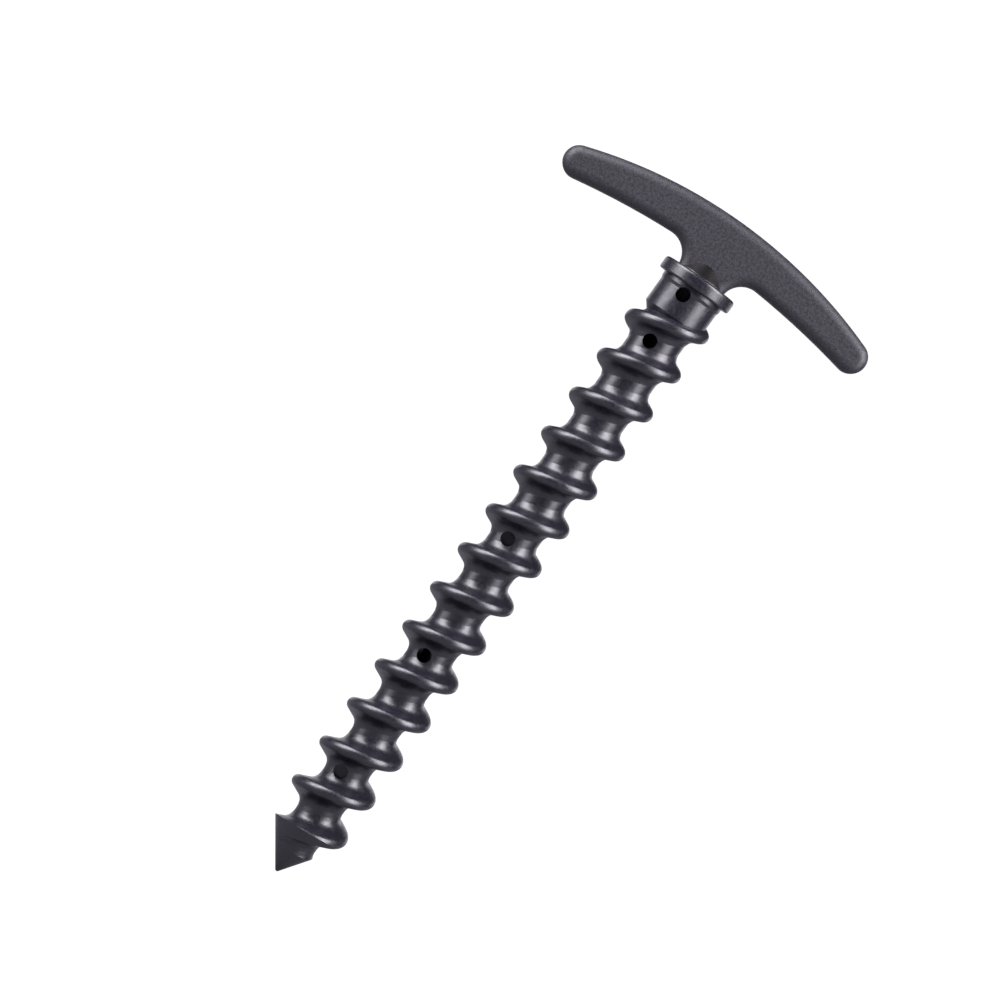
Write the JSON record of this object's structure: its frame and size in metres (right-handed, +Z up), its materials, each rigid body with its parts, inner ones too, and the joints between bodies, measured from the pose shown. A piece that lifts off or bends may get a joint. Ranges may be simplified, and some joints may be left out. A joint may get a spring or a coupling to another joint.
{
  "type": "screw-in tent stake",
  "caption": "Black plastic screw-in tent stake: bow T-handle, round brim, hollow shank with a coarse right-hand ridge, cored holes down the front and a cone tip.",
  "frame": {"origin": "on the stake's axis at the underside of the brim, which is the ground line when the stake is screwed home", "axes": "+Z up the axis from the tip to the handle, X along the handle, -Y the front with the line of cored holes"},
  "size_m": [0.1124, 0.0254, 0.245],
  "materials": {
    "grained_black_plastic": "fine grain, matte",
    "satin_black_plastic": "smooth satin"
  },
  "bodies": {
    "root": {"t_handle": "grained_black_plastic", "brim_collar": "satin_black_plastic", "screw_shank": "satin_black_plastic"}
  },
  "joints": []
}
